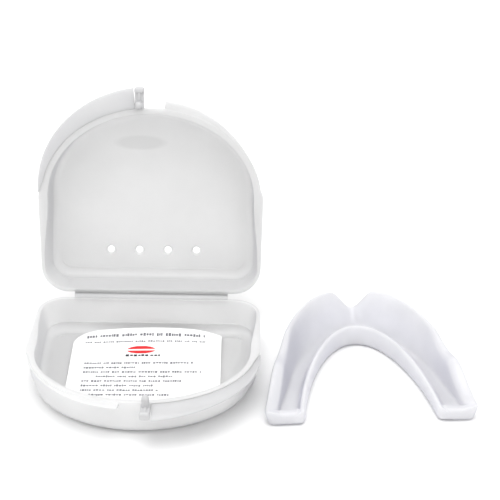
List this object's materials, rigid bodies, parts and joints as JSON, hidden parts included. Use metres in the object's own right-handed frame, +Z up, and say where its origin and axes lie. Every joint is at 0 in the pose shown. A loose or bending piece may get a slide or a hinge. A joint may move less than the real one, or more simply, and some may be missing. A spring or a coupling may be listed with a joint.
{
  "type": "mouthguard with case",
  "caption": "Clear boil-and-bite mouthguard beside its open clamshell case with a living hinge, snap posts, finger flanges and a printed insert card.",
  "frame": {"origin": "centre of the case tray's flat underside, on the surface it stands on", "axes": "+Z up, hinge towards +Y, finger flanges and snap towards -Y, the mouthguard lies towards +X"},
  "size_m": [0.1574, 0.1073, 0.0886],
  "materials": {
    "case": "frosted translucent natural polypropylene",
    "card": "uncoated white card",
    "guard": "clear, slightly milky EVA with a soft gloss"
  },
  "bodies": {
    "base": {"base_tray": "case", "base_finger_flange": "case", "base_latch_post": "case"},
    "hinge_strip": {"living_hinge": "case"},
    "lid": {"lid_cover": "case", "lid_finger_flange": "case", "lid_latch_post": "case"},
    "card": {"insert_card": "card"},
    "guard": {"mouthguard": "guard"}
  },
  "joints": [
    {"name": "hinge_strip_fold", "type": "hinge", "parent": "base", "child": "hinge_strip", "pos_m": [0, 0.0356, 0.0129], "axis": [-1, 0, 0], "range_deg": [-52.5, 37.5]},
    {"name": "lid_hinge", "type": "hinge", "parent": "hinge_strip", "child": "lid", "pos_m": [0, 0.03719, 0.01412], "axis": [-1, 0, 0], "range_deg": [-52.5, 37.5]},
    {"name": "card_lift", "type": "slide", "parent": "base", "child": "card", "axis": [0, 0, 1], "range_m": [0, 0.01]},
    {"name": "guard_lift", "type": "slide", "parent": "base", "child": "guard", "axis": [0, 0, 1], "range_m": [0, 0.06]}
  ],
  "couplings": [
    {"joint": "hinge_strip_fold", "follows": "lid_hinge", "ratio": 1}
  ]
}
